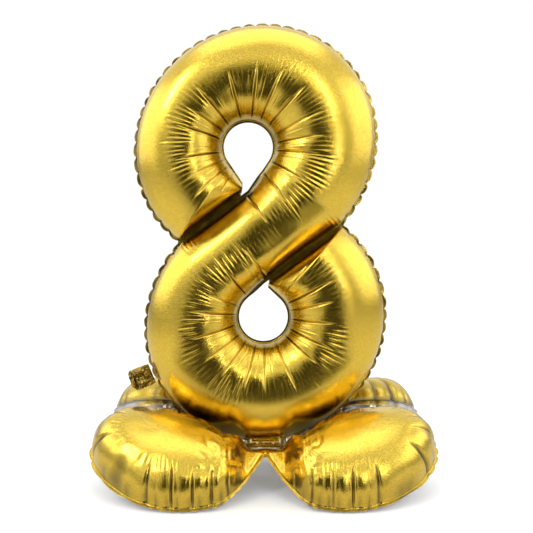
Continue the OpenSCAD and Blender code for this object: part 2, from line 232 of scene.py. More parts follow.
def clear_material(name, tint, alpha, rough):
    """Clear plastic film, a little cloudy, with faint drawing lines."""
    m, tree, shader = new_material(name)
    haze = remap(tree, noise_node(tree, 120, 4), 0.3, 0.7, 0, 1)
    colour = mix_colour(tree, haze, tint, tuple(c * 0.82 for c in tint))
    tree.links.new(colour, shader.inputs["Base Color"])
    lines = noise_node(tree, 90, 2, 0.5, (0.2, 1, 6))
    tree.links.new(remap(tree, lines, 0.3, 0.7, rough, rough * 2), shader.inputs["Roughness"])
    shader.inputs["Alpha"].default_value = alpha
    bump = tree.nodes.new("ShaderNodeBump")
    bump.inputs["Strength"].default_value = 0.4
    bump.inputs["Distance"].default_value = 0.0002
    tree.links.new(lines, bump.inputs["Height"])
    tree.links.new(bump.outputs["Normal"], shader.inputs["Normal"])
    return m


valve_film = clear_material("valve_film", (0.82, 0.84, 0.86), 0.6, 0.15)
tape = clear_material("tape", (0.9, 0.85, 0.7), 0.3, 0.25)

# ---------------------------------------------------------------- the number's outline
LOOP_R, STRETCH, STRETCH_ANGLE = 194.0, 0.03, math.radians(40)
LONG_R, SHORT_R = LOOP_R * (1 + STRETCH), LOOP_R * (1 - STRETCH)
LIFT = 53.0
LOWER_CENTRE = np.array(
    [0, LIFT + math.hypot(LONG_R * math.sin(STRETCH_ANGLE), SHORT_R * math.cos(STRETCH_ANGLE))])
HALF_PITCH = np.array([-7.5, math.sqrt(281 ** 2 - 15 ** 2) / 2])
CROSSING = LOWER_CENTRE + HALF_PITCH
BAND = math.radians(36)
ALONG = np.array([-math.cos(BAND), -math.sin(BAND)])
ACROSS = np.array([math.sin(BAND), -math.cos(BAND)])
LONG_AXIS = np.array([math.cos(STRETCH_ANGLE), math.sin(STRETCH_ANGLE)])
SHORT_AXIS = np.array([-math.sin(STRETCH_ANGLE), math.cos(STRETCH_ANGLE)])
HOLE_R = 39.0
UPPER_HOLE = HALF_PITCH + np.array([-12.0, -3.0])
LOWER_HOLE = HALF_PITCH + np.array([3.0, -8.0])
LOWER_HOLE_CENTRE = CROSSING - LOWER_HOLE
TUBE_HALF, WELD, WELD_GAP, FILM = 59.0, 6.0, -0.4, 0.4
TUBE_ACROSS = (LOOP_R - HOLE_R) / 2
FIRST_RING, LAST_RING = 261.0, -54.0
NUMBER_SCALLOP, FOOT_SCALLOP = 21.5, 14.5
NUMBER_PLEAT, FOOT_PLEAT = 41, 27
HOLE_WELD_TRIM = 2.6
SLIT_LAP = 1.2


def to_unit(p):
    """Points relative to a loop's centre, scaled so that its outline has a length of 1."""
    return np.stack([p @ LONG_AXIS / LONG_R, p @ SHORT_AXIS / SHORT_R], axis=-1)


unit_pitch = to_unit(HALF_PITCH)
turned = math.sqrt(1 / (unit_pitch @ unit_pitch) - 1) * np.array([-unit_pitch[1], unit_pitch[0]])
NOTCH = turned[0] * LONG_R * LONG_AXIS + turned[1] * SHORT_R * SHORT_AXIS
SLIT = NOTCH @ ACROSS


def direction(a):
    """Unit vectors at angles in degrees."""
    a = np.radians(a)
    return np.stack([np.cos(a), np.sin(a)], axis=-1)


def hole_tip(hole):
    """Where a teardrop hole comes to a point, on the slit beside the band."""
    return np.array([hole[0], (SLIT - hole[0] * ACROSS[0]) / ACROSS[1]])


def hole_reach(hole, a):
    """From a hole's centre to its rim, which runs out straight to the tip."""
    spread = np.degrees(np.arccos(HOLE_R / np.linalg.norm(hole_tip(hole) - hole)))
    off = np.abs(a - 270) % 360
    turn = np.minimum(off, 360 - off)
    return np.where(turn < spread, HOLE_R / np.cos(np.radians(np.clip(spread - turn, 0, 80))), HOLE_R)


def outline_reach(hole, a):
    """From a hole's centre to the loop's outline."""
    d, m = to_unit(direction(a)), to_unit(hole - HALF_PITCH)
    dd, md = (d * d).sum(-1), d @ m
    return (np.sqrt(md * md + dd * (1 - m @ m)) - md) / dd


def outer_reach(hole, a):
    """The same, cut off at the slit where the loop meets the band."""
    closing = direction(a) @ ACROSS
    line = np.where(a > 90, SLIT - WELD_GAP, -SLIT)
    cut = np.where(closing > 0.05, (line - hole @ ACROSS) / np.maximum(closing, 0.05), 1e4)
    return np.minimum(outline_reach(hole, a), cut)


def upper_rings(hole, count):
    """Inner and outer ends of the rings that go round a loop."""
    a = np.linspace(FIRST_RING, LAST_RING, count)
    d = direction(a)
    return hole + d * hole_reach(hole, a)[:, None], hole + d * outer_reach(hole, a)[:, None]


def band_rings(count):
    """Both ends of the rings that cross the diagonal band between the loops."""
    p0, p1 = (hole + direction(LAST_RING) * hole_reach(hole, LAST_RING + 360)
              for hole in (UPPER_HOLE, LOWER_HOLE))
    s0, c0, s1, c1 = UPPER_HOLE @ ALONG, p0 @ ACROSS, -(LOWER_HOLE @ ALONG), p1 @ ACROSS

    def side(s, tip, end_s, end_c):
        tip_s = tip @ ALONG
        return np.where(s > tip_s, SLIT, SLIT + (end_c - SLIT) * (tip_s - s) / (tip_s - end_s))

    s = np.linspace(s0, s1, count + 2)[1:-1]
    a = s[:, None] * ALONG + side(s, hole_tip(UPPER_HOLE), s0, c0)[:, None] * ACROSS
    b = s[:, None] * ALONG - side(-s, hole_tip(LOWER_HOLE), -s1, c1)[:, None] * ACROSS
    return a, b


def number_outline(loop_rings, between):
    """Both seams of the whole figure: upper loop, band, then lower loop."""
    ua, ub = upper_rings(UPPER_HOLE, loop_rings)
    ba, bb = band_rings(between)
    la, lb = upper_rings(LOWER_HOLE, loop_rings)
    a = np.concatenate([ua, ba, -lb[::-1]])
    b = np.concatenate([ub, bb, -la[::-1]])
    return CROSSING + a, CROSSING + b


def run_length(p):
    """Distance along a line of points, from its first one."""
    return np.concatenate([[0], np.cumsum(np.linalg.norm(np.diff(p, axis=0), axis=1))])


# ---------------------------------------------------------------- pleats
def crease_places(start, stop, spacing, seed):
    rng = np.random.default_rng(seed)
    places, at = [start - spacing], start - spacing
    while at < stop + spacing:
        at += spacing * rng.uniform(0.72, 1.35)
        places.append(at)
    return np.array(places)


def creases(s, q, places, width, reach, seed):
    """Straight sharp valleys across a seam, with the film puffed up between them.
    s runs along the seam, q away from it; reach is (start, full, fade, end) along q."""
    k = np.clip(np.searchsorted(places, s), 1, len(places) - 1)
    left, right = places[k - 1], places[k]
    near = np.where(s - left < right - s, k - 1, k)
    d = np.minimum(s - left, right - s)
    t = (s - left) / (right - left)
    end = reach[3] + (reach[3] - reach[2]) * (per_pleat(near, seed) - 0.5)
    depth = 0.45 + 0.75 * per_pleat(near, seed + 1)
    narrow = width * (1 - 0.75 * smooth(end - 0.22, end, q))
    valley = np.maximum(0, 1 - d / narrow)
    lip = np.exp(-((d - 1.5 * narrow) / (0.6 * narrow)) ** 2)
    run = smooth(reach[0], reach[1], q) * (1 - smooth(end - 0.12, end, q))
    puff = (4 * t * (1 - t)) * window(q, reach[0], reach[1], reach[2] - 0.08, reach[3])
    return valley * depth * run, lip * depth * run, puff


def comb(s, q, pitch, reach, seed, wander=0.45):
    """Fine short pleats side by side, each of its own length and height."""
    phase = s / pitch + wander * noise(s / (6 * pitch), 0.0, seed)
    k = np.floor(phase)
    f = phase - k
    saw = 1 - np.abs(2 * f - 1) ** 0.8 * 2
    lo = reach[0] + (reach[1] - reach[0]) * per_pleat(k, seed + 2)
    hi = reach[3] - (reach[3] - reach[2]) * per_pleat(k, seed + 3)
    lively = 0.25 + 0.75 * smooth(-0.35, 0.45, noise(s / (9 * pitch), 3.0, seed + 4))
    span = smooth(lo - 0.035, lo + 0.035, q) * (1 - smooth(hi - 0.05, hi + 0.05, q))
    return saw * span * lively * (0.5 + 0.7 * per_pleat(k, seed + 5))


def scallop(s, pitch, seed):
    """1 at the middle of each scallop and 0 at the cusps between them."""
    phase = s / pitch + 0.3 * noise(s / (5 * pitch), 1.0, seed)
    f = phase - np.floor(phase)
    size = 0.7 + 0.3 * per_pleat(np.floor(phase), seed + 1)
    return np.maximum(0, 1 - (2 * f - 1) ** 2) ** 0.62, size, np.floor(phase)


# ---------------------------------------------------------------- the number's films
def number_film(side, loop_rings, between, columns, seed):
    """Points and painted shade of one film of the number. side is -1 in front and 1 behind."""
    a, b = number_outline(loop_rings, between)
    rings = len(a)
    mid, chord = (a + b) / 2, b - a
    width = np.linalg.norm(chord, axis=1)
    d = chord / width[:, None]
    half = width / 2
    rise = np.maximum(0.8, TUBE_HALF * np.sqrt(np.clip((width - 12) / (2 * TUBE_ACROSS - 12), 0, 1)))
    s = run_length(mid)[:, None]
    sa, sb = run_length(a)[:, None], run_length(b)[:, None]
    index = np.arange(rings)
    into = (index - loop_rings) / between
    into_band = np.clip(into, 0, 1)[:, None]
    upper = 1 - smooth(0.25, 0.75, into_band)
    lower = smooth(0.3, 0.8, into_band)
    ends = smooth(0, 0.09, index / rings)[:, None] * smooth(0, 0.09, 1 - index / rings)[:, None]
    # 1 where a loop's far seam is free, 0 where it runs along a slit with finer pleats
    free_b, free_a = (
        smooth(0.975, 0.995, np.linalg.norm(to_unit(p - CROSSING - own), axis=-1))
        * smooth(0.985, 1.01, np.linalg.norm(to_unit(p - CROSSING + own), axis=-1))
        for p, own in ((b, HALF_PITCH), (a, -HALF_PITCH)))
    free_b, free_a = free_b[:, None] * upper, free_a[:, None] * lower
    in_band = window(into, -0.02, 0.12, 0.88, 1.02)[:, None]
    at_slit_b, at_slit_a = (1 - free_b) * upper * (1 - in_band), (1 - free_a) * lower * (1 - in_band)

    angle = np.linspace(180, 0, columns)
    q = ((180 - angle) / 180)[None, :]
    angle = np.radians(angle)[None, :]
    weld_a, weld_b = WELD - HOLE_WELD_TRIM * upper, WELD - HOLE_WELD_TRIM * lower
    reach_a, reach_b = half[:, None] - weld_a, half[:, None] - weld_b
    reach = np.where(np.cos(angle) < 0, reach_a, reach_b)
    x = reach * np.cos(angle)
    y = FILM / 2 + (rise[:, None] - FILM / 2) * np.sin(angle) ** 0.96
    nx, ny = np.cos(angle) / reach, np.sin(angle) / rise[:, None]
    size = np.hypot(nx, ny)
    nx, ny = nx / size, ny / size

    height = np.zeros((rings, columns))
    fold = np.zeros((rings, columns))
    places = crease_places(0, s.max(), NUMBER_PLEAT, seed)
    for weight, p, k in ((upper, q, 0), (lower, 1 - q, 10)):
        valley, lip, puff = creases(s, p, places, 2.9, (0.05, 0.14, 0.42, 0.52), seed + k)
        live = weight * (0.25 + 0.75 * ends)
        fine = comb(s, p, 7.2, (0.37, 0.45, 0.50, 0.58), seed + 20 + k)
        rim = comb(s, p, 11.0, (0.02, 0.05, 0.16, 0.26), seed + 30 + k)
        minor = creases(s, p, places[:-1] + 17, 2.2, (0.1, 0.2, 0.33, 0.42), seed + 60 + k)[0]
        height += live * (
            -2.4 * valley + 0.35 * lip + 1.7 * puff + 0.6 * fine + 0.22 * rim - 0.7 * minor)
        # painted shade down the pleat valleys and comb hollows, and a painted dark band along the seam
        # round the hole
        fold += live * (1.0 * valley + 0.25 * np.maximum(0, -fine))
        fold += 0.62 * live * window(p, 0.0, 0.03, 0.08, 0.2)
        flat = window(p, 0.06, 0.16, 0.34, 0.46)
        height += live * flat * 0.55 * noise(s / 16, p * 7, seed + 40 + k)
        height -= live * 2.4 * window(p, 0.05, 0.17, 0.20, 0.40)
    # scallops along the free outer seams, finer crimps along the slits; painted shade in the scallop
    # tucks and down in the slits
    for seam, p, free, slit, k in (
        (sb, 1 - q, free_b, at_slit_b, 3),
        (sa, q, free_a, at_slit_a, 4),
    ):
        arc, _, number = scallop(seam, NUMBER_SCALLOP, 5 + k)
        tuck = (1 - arc) * (0.6 + 0.8 * per_pleat(number, seed + k))
        height -= free * 2.6 * tuck * window(p, -0.02, 0.0, 0.03, 0.13)
        fold += free * 0.5 * tuck * (1 - smooth(0.02, 0.09, p))
        crimp = comb(seam, p, 7.4, (-0.1, -0.05, 0.13, 0.27), seed + 50 + k)
        height += slit * 0.75 * crimp
        fold += slit * (0.3 * np.maximum(0, -crimp) + 0.7 * (1 - smooth(0.02, 0.10, p)))
    crimp = comb(sa, q, 8.0, (-0.1, -0.05, 0.07, 0.17), seed + 55) \
        + comb(sb, 1 - q, 8.0, (-0.1, -0.05, 0.07, 0.17), seed + 56)
    height += in_band * 0.45 * crimp
    edge = np.minimum(q, 1 - q)
    # painted shade along both seams of the band
    fold += in_band * 0.85 * (1 - smooth(0.02, 0.15, edge))
    # long soft folds that run with the tube
    height += in_band * 0.9 * noise(s / 90, q * 9, seed + 70) * window(q, 0.1, 0.25, 0.75, 0.9)
    height += 0.8 * noise(s / 55, q * 4, seed + 71) * window(q, 0.08, 0.2, 0.8, 0.92)
    height *= smooth(8, 40, rise)[:, None]
    x = x + height * nx
    y = np.maximum(FILM / 2, y + height * ny)

    # the flat weld outside the arch, with its scalloped edge and its waves; along a slit the
    # two welds lap over each other
    rows = []
    fold_rows = []
    wave_a = wave_b = 0
    for sign, seam, free, weld, k in (
        (-1, sa, free_a, weld_a, 4),
        (1, sb, free_b, weld_b, 3),
    ):
        arc, size, number = scallop(seam, NUMBER_SCALLOP, 5 + k)
        wave = free * (2.0 * (arc - 0.6) * (2 * per_pleat(number, 9) - 1)) \
            + 0.25 * noise(seam / 9, 0.0, 8 + k)
        inset = free * (4.8 * (1 - arc) + 2.4 * (1 - size) + 0.3 * (1 + noise(seam / 5, 0.0, 6 + k)))
        closed = np.clip(in_band + (at_slit_b if sign > 0 else at_slit_a), 0, 1)
        step = 1 - 2 * in_band
        steps = []
        for share in (0.25, 0.5, 0.75, 1.0):
            out = half[:, None] - weld - 0.45 * inset * (1 - share) + share * (weld - inset)
            out = out + SLIT_LAP * share * closed
            lift = FILM / 2 * (1 - share ** 4)
            wavy = (share ** 0.5) * wave + 0.5 * step * share * closed
            steps.append((sign * out, lift + 0 * out, wavy))
        if sign < 0:
            steps = steps[::-1]
            wave_a = wave
        else:
            wave_b = wave
        rows.append((sign, steps, inset))
    x[:, :1] += 0.45 * rows[0][2]
    x[:, -1:] -= 0.45 * rows[1][2]
    column_x = [c[0] for c in rows[0][1]] + [x] + [c[0] for c in rows[1][1]]
    column_y = [side * c[1] + c[2] for c in rows[0][1]]
    soft_a, soft_b = 1 - smooth(0, 0.1, q), 1 - smooth(0, 0.1, 1 - q)
    body_wave = 0.3 * (wave_a * soft_a + wave_b * soft_b)
    column_y += [side * y + body_wave]
    column_y += [side * c[1] + c[2] for c in rows[1][1]]
    # painted shade on the flat welds
    weld_fold = 0.62 + 0 * half[:, None]
    height_z = mid[:, 1:] + d[:, 1:] * x
    # painted shade on the lower part of the number, away from its middle
    fold += 0.5 * (1 - smooth(95, 165, height_z)) * smooth(25, 70, np.abs(mid[:, :1] + d[:, :1] * x))
    fold = np.clip(fold, 0, 1)
    fold_rows = [weld_fold] * 4 + [fold] + [weld_fold] * 4
    px, py = np.concatenate(column_x, axis=1), np.concatenate(column_y, axis=1)
    points = np.stack(
        [mid[:, :1] + d[:, :1] * px, py, mid[:, 1:] + d[:, 1:] * px], axis=-1)
    return points, np.concatenate(fold_rows, axis=1)


front_points, front_fold = number_film(-1, 590, 150, 66, 11)
build("number_front", [front_points], gold, "number", (0, -1, 0), ["number_front_film"],
      shade=[front_fold])
back_points, back_fold = number_film(1, 590, 150, 66, 47)
build("number_back", [back_points], gold, "number", (0, 1, 0), ["number_back_film"],
      shade=[back_fold])

# ---------------------------------------------------------------- feet
LOBE_HALF_W, LOBE_HALF_L, LOBE_X, LOBE_OUT, LOBE_TURN = 116.0, 95.0, 148.0, 101.0, 0.25
RIM_LIFT, FLOOR_PRESS, FOOT_GAP = 4.0, 3.0, 2.0
NECK_IN, NECK_OUT, NECK_REACH, NOTCH_REACH, NECK_H = 40.0, 92.0, 60.0, 80.0, 8.0
NECK_FLAT, STRAP_Z = 24.0, LIFT - FILM
ARCH_HALF_L = LOBE_HALF_L - WELD
UNDER_SLACK = 1.5
TILT = {-1: math.radians(28), 1: math.radians(37)}
LOBE_TOP = {-1: 62.0, 1: 72.0}


def pair_top(side):
    """Height of the plane of a pair's welds where it meets the number."""
    return RIM_LIFT + (LOBE_OUT + LOBE_HALF_L) * math.sin(TILT[side])


def lobe_bottom(side):
    """Depth of a lobe's underside that brings it down to the floor and a little past it."""
    t = TILT[side]
    mid_z = RIM_LIFT + LOBE_HALF_L * math.sin(t)
    return math.sqrt((mid_z + FLOOR_PRESS) ** 2 - (ARCH_HALF_L * math.sin(t)) ** 2) / math.cos(t)


def opening(x):
    """0 on the neck and 1 where the lobes have opened."""
    return smooth(NECK_FLAT, NECK_REACH, np.abs(x))


def lobe_half(x):
    return LOBE_HALF_L * np.sqrt(np.maximum(0, 1 - ((np.abs(x) - LOBE_X) / LOBE_HALF_W) ** 2))


def lobe_mid(x):
    return LOBE_OUT - (np.abs(x) - LOBE_X) * LOBE_TURN


def pair_inner(x):
    r = np.maximum(np.abs(x), NECK_REACH)
    return NECK_IN + (lobe_mid(r) - lobe_half(r) - NECK_IN) * opening(x)


def pair_outer(x):
    r = np.maximum(np.abs(x), NOTCH_REACH)
    grow = np.sin(np.radians(90 * np.minimum(1, np.abs(x) / NOTCH_REACH)))
    return NECK_OUT + (lobe_mid(r) + lobe_half(r) - NECK_OUT) * grow


def on_pair(side, x, q, h):
    """Places points of a pair's own plane, x across, q out from the number, h above it."""
    t = TILT[side]
    drop = pair_top(side) - NECK_IN * math.sin(t) - STRAP_Z + FILM
    inner = np.maximum(0, 1 - np.maximum(0, q - NECK_IN - WELD) / (NECK_OUT - NECK_IN - WELD))
    fall = drop * (1 - smooth(NECK_FLAT - 2, NECK_FLAT + 20, np.abs(x))) * inner
    return np.stack([
        x + 0 * q, side * (q * math.cos(t) + h * math.sin(t)),
        pair_top(side) - q * math.sin(t) + h * math.cos(t) - fall], axis=-1)


def number_shadow_reach(p):
    """Painted shadow of the number on the feet: 1 on the number's tube and 0 well away from it, where
    the foil stays bright.
    """
    q = p[..., [0, 2]] - LOWER_HOLE_CENTRE
    a = np.degrees(np.arctan2(-q[..., 1], -q[..., 0]))
    mid = (outline_reach(LOWER_HOLE, a) + HOLE_R) / 2
    k = np.hypot((np.linalg.norm(q, axis=-1) - mid) / (mid - HOLE_R), p[..., 1] / TUBE_HALF)
    return 1 - smooth(1.0, 1.42, k)


def clear_of_number(p):
    """Moves points that lie in the number's tube out to just outside it."""
    q = p[..., [0, 2]] - LOWER_HOLE_CENTRE
    a = np.degrees(np.arctan2(-q[..., 1], -q[..., 0]))
    mid = (outline_reach(LOWER_HOLE, a) + HOLE_R) / 2
    wide, deep = mid - HOLE_R + FOOT_GAP, TUBE_HALF + FOOT_GAP
    reach = np.maximum(1e-6, np.linalg.norm(q, axis=-1))
    u, v = (reach - mid) / wide, p[..., 1] / deep
    k = np.maximum(1e-6, np.hypot(u, v))
    moved = LOWER_HOLE_CENTRE + q * ((mid + wide * u / k) / reach)[..., None]
    out = np.stack([moved[..., 0], deep * v / k, moved[..., 1]], axis=-1)
    keep = (k >= 1) | (u < 0)
    return np.where(keep[..., None], p, out)


def feet_film(side, up, seed, half_columns=62, stations=230, fan=120):
    """Three joined grids: the middle with the neck, and the outer half of each lobe."""
    full = lobe_bottom(side) - UNDER_SLACK if up < 0 else LOBE_TOP[side]
    x = np.linspace(-LOBE_X, LOBE_X, stations)[:, None]
    q0, q1 = pair_inner(x), pair_outer(x)
    mid, half = (q0 + q1) / 2, np.maximum(WELD + 3 * FILM, (q1 - q0) / 2)
    seam_in = run_length(np.concatenate([x, q0], axis=1))[:, None]
    seam_out = run_length(np.concatenate([x, q1], axis=1))[:, None]
    around = seam_out[-1, 0]
    rho = np.linspace(0, 1, half_columns) ** 0.8
    places = crease_places(-400, 1700, FOOT_PLEAT, seed)

    def relief(s, r, weight, rib):
        """Height along the surface and painted shade, from the seam's run and the radius r."""
        e = 1 - r
        valley, lip, puff = creases(s, e, places, 2.6, (-0.02, 0.02, 0.30, 0.40), seed + 1)
        fine = comb(s, e, 6.2, (0.27, 0.35, 0.40, 0.50), seed + 2)
        arc, _, number = scallop(s, FOOT_SCALLOP, seed + 3)
        tuck = (1 - arc) * (0.5 + 0.9 * per_pleat(number, seed + 4))
        h = -2.6 * valley + 0.4 * lip + 1.9 * puff + 0.7 * fine * rib
        h -= 1.3 * tuck * (1 - smooth(0.02, 0.22, e))
        h += 0.5 * noise(s / 14, r * 6, seed + 5) * window(r, 0.45, 0.6, 0.9, 1.0)
        # painted shade in the valleys, scallop tucks and comb hollows, and a painted dark band along the
        # seam
        fold = 0.95 * valley + 0.5 * tuck * (1 - smooth(0.0, 0.1, e)) + 0.25 * np.maximum(0, -fine)
        fold = fold + 0.22 * (1 - smooth(0.05, 0.3, e))
        if up < 0:
            h = np.minimum(h, 0.2)
        return h * weight, np.clip(fold * weight, 0, 1)

    def flange(s):
        arc, size, number = scallop(s, FOOT_SCALLOP, seed + 3)
        wave = 0.9 * (arc - 0.6) * (2 * per_pleat(number, seed + 6) - 1)
        return 3.8 * (1 - arc) + 1.5 * (1 - size), wave

    # middle part: rings across the pair
    opened = opening(x)
    lobe = full * np.sqrt(np.maximum(0, half - WELD) / ARCH_HALF_L)
    rise = np.maximum(2 * FILM, NECK_H + (lobe - NECK_H) * opened)
    signed = np.concatenate([-rho[::-1], rho[1:]])[None, :]
    r = np.abs(signed)
    arch = np.sqrt(np.maximum(0, 1 - signed ** 2))
    reach = half - WELD
    off, h = reach * signed, FILM / 2 + (rise - FILM / 2) * arch
    s = np.where(signed < 0, seam_in, seam_out)
    neck = 1 - smooth(30, 110, np.abs(x))
    lift, fold = relief(s, r, (0.35 + 0.65 * opened) * (r > 0.0), 1 - 0.6 * neck)
    crumple = ridged(x / 15 + 3, off / 19, seed + 7) + 0.5 * ridged(x / 7, off / 11, seed + 8)
    lift = lift + neck * (2.6 * (crumple - 0.45)) * (1 - r ** 6)
    gather = 1 - np.abs(2 * ((x / 11 + 0.3 * noise(x / 20, 0, seed)) % 1) - 1)
    lift = lift - neck * 1.5 * gather * smooth(0.35, 0.9, r)
    # painted shade among the neck's crumples and gathers
    fold = np.clip(fold + neck * 0.5 * np.maximum(0, 0.4 - crumple) + neck * 0.25 * gather * r, 0, 1)
    if up > 0:
        lift = lift + 1.2 * noise(x / 60, off / 45, seed + 9) * (1 - r ** 2)
    nx, ny = signed / reach, arch / rise
    size = np.hypot(nx, ny)
    lift = lift * smooth(3, 30, rise)
    off = off + lift * nx / size
    h = np.maximum(FILM / 2, h + lift * ny / size)
    inset_in, wave_in = flange(seam_in)
    inset_out, wave_out = flange(seam_out)
    free = 0.25 + 0.75 * opened
    inset_in, inset_out = inset_in * free, inset_out * free
    cols_x, cols_h = [], []
    for share in (1.0, 0.6, 0.3):
        cols_x.append(-(reach + share * (WELD - inset_in)))
        cols_h.append(FILM / 2 * (1 - share ** 4) * up + share * wave_in)
    cols_x.append(off)
    cols_h.append(up * h)
    for share in (0.3, 0.6, 1.0):
        cols_x.append(reach + share * (WELD - inset_out))
        cols_h.append(FILM / 2 * (1 - share ** 4) * up + share * wave_out)
    cx, ch = np.concatenate(cols_x, axis=1), np.concatenate([c + 0 * x for c in cols_h], axis=1)
    # painted shade on the flat welds
    weld = np.full((stations, 3), 0.25)
    grids = [on_pair(side, x, mid + cx, ch)]
    folds = [np.concatenate([weld, fold, weld], axis=1)]

    # outer half of each lobe: rays from its centre, from the outer seam round to the inner
    theta = np.linspace(math.pi / 2, -math.pi / 2, fan)[:, None]
    edge = np.concatenate([LOBE_HALF_W * np.cos(theta), LOBE_HALF_L * np.sin(theta)], axis=1)
    run = run_length(edge)[:, None]
    total = run[-1, 0]
    shrink = 1 - WELD / np.linalg.norm(edge, axis=1)[:, None]
    for turn in (-1, 1):
        if turn > 0:
            s_edge = around + run
            s_edge = s_edge + smooth(0, 1, run / total) * (seam_in[-1, 0] - around - total)
        else:
            s_edge = -run
            s_edge = s_edge + smooth(0, 1, run / total) * total
        r = rho[None, :]
        power = 2 + 2 * np.cos(theta) ** 2
        arch = np.sqrt(np.maximum(0, 1 - r ** power))
        lift, fold = relief(s_edge, r, 1.0, 1.0)
        if up > 0:
            px = LOBE_X + LOBE_HALF_W * r * shrink * np.cos(theta)
            py = LOBE_HALF_L * r * shrink * np.sin(theta)
            lift = lift + 1.2 * noise(turn * px / 60, py / 45, seed + 9) * (1 - r ** 2)
        steep = r ** (power - 1)
        tilt_in = steep / np.hypot(steep, arch + 1e-6)
        grow = 1 + lift * tilt_in / LOBE_HALF_L
        h = np.maximum(FILM / 2, FILM / 2 + (full - FILM / 2) * arch + lift * np.sqrt(1 - tilt_in ** 2))
        rad = r * shrink * grow
        inset, wave = flange(s_edge)
        radii, heights = [rad], [up * h]
        for share in (0.3, 0.6, 1.0):
            radii.append(shrink + share * (1 - shrink - inset / LOBE_HALF_W))
            heights.append(FILM / 2 * (1 - share ** 4) * up + share * wave)
        rad = np.concatenate(radii, axis=1)
        h = np.concatenate([v + 0 * theta for v in heights], axis=1)
        ex = LOBE_X + LOBE_HALF_W * rad * np.cos(theta)
        eq = lobe_mid(ex) + LOBE_HALF_L * rad * np.sin(theta)
        grids.append(on_pair(side, turn * ex, eq, h))
        # painted shade on the flat welds
        folds.append(np.concatenate([fold, np.full((fan, 3), 0.25)], axis=1))
    placed, shaded = [], []
    for g in grids:
        near = number_shadow_reach(g)
        g = clear_of_number(g)
        g[..., 2] = np.maximum(g[..., 2], 0.05)
        out = np.abs(g[..., 0])
        if side < 0:
            g[..., 0] -= 2.0 * smooth(40, 90, out)
        else:
            g[..., 0] -= np.sign(g[..., 0]) * 7.0 * smooth(90, 264, out)
        placed.append(g)
        # painted shade in the pleats plus the number's painted shadow
        shaded.append(np.clip(folds[len(shaded)] + 0.75 * near, 0, 1))
    return placed, shaded


for side, pair in ((-1, "front"), (1, "rear")):
    for up, name, material, finish in (
        (1, "upper", gold, "gold_film"), (-1, "lower", silver, "silver_film"),
    ):
        detail = dict() if up > 0 else dict(half_columns=42, stations=150, fan=80)
        grids, folds = feet_film(side, up, 101 + 7 * (side > 0), **detail)
        build(f"{pair}_feet_{name}", grids, material, f"{pair}_feet", (0, 0.3 * side, up),
              [f"{pair}_feet_{name}_film"], True, folds)

# ---------------------------------------------------------------- tails, sleeves, strap and pads
def shell(points, thickness):
    """A closed skin of some thickness round a grid of points: its grids share their edges."""
    du, dv = np.gradient(points, axis=0), np.gradient(points, axis=1)
    n = np.cross(du, dv)
    n /= np.maximum(1e-9, np.linalg.norm(n, axis=-1, keepdims=True))
    top, low = points + n * thickness / 2, points - n * thickness / 2
    rim = [np.stack([low[0], top[0]]), np.stack([top[-1], low[-1]]),
           np.stack([top[:, 0], low[:, 0]]), np.stack([low[:, -1], top[:, -1]])]
    return [top, low[:, ::-1]] + rim


def placed_grid(origin, along_axis, across_axis, u, w, h):
    normal = np.cross(along_axis, across_axis)
    return origin + u[..., None] * along_axis + w[..., None] * across_axis + h[..., None] * normal


def valve_tail(node, joint_name, body, material, finish, length, curl, crush, seed, painted_shade_amount=0.3):
    """A two-ply tail with heat-sealed edges and a filling slot, crushed as a used one is."""
    joint = next(j for j in frame["joints"] if j["name"] == joint_name)
    root, axis = np.array(joint["pos_m"]) / MM, np.array(joint["axis"], float)
    lo, hi = (np.array(c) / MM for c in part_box(node))
    out = (lo + hi) / 2 - root
    out -= axis * (out @ axis)
    out /= np.linalg.norm(out)
    u, w = np.meshgrid(np.linspace(0.6, length, 70), np.linspace(-1, 1, 56), indexing="ij")
    half = 16 + 1.0 * smooth(0, 8, u) - 5 * smooth(length - 5, length, u) ** 2
    half = half + 0.5 * np.sin(u * 1.9) * smooth(2, 8, u)
    flat = smooth(0.5, 10, u)
    rumple = ridged(u / 9, w * 1.7, seed)
    h = crush * flat * (rumple - 0.4) + 0.35 * crush * flat * ridged(u / 4, w * 4, seed + 1)
    h = h + curl * flat * (np.abs(w) ** 3) * smooth(4, length, u)
    h = h + 0.35 * np.cos(np.clip((np.abs(w) - 0.86) * 40, -3.1, 3.1))
    slot = np.maximum(np.abs(u - (length - 11)) / 3.2, np.abs(w * half) / 10)
    h = h - 0.7 * np.exp(-((slot - 1) * 6) ** 2)
    points = placed_grid(root, out, axis, u, w * half, h)
    points[..., 2] = np.maximum(points[..., 2], 0.6)
    grids = shell(points, 0.6)
    # painted shade: the whole tail darker, more in the groove round the filling slot and in the crush
    # hollows; the sealed rims get a fixed amount
    dark = painted_shade_amount + 0.5 * np.exp(-((slot - 1) * 6) ** 2) + 0.3 * np.maximum(0, 0.35 - rumple)
    folds = [dark, dark[:, ::-1]] + [np.full(g.shape[:2], 0.4) for g in grids[2:]]
    build(joint_name.replace("_flap", ""), grids, material, body, out, [node], True, folds)


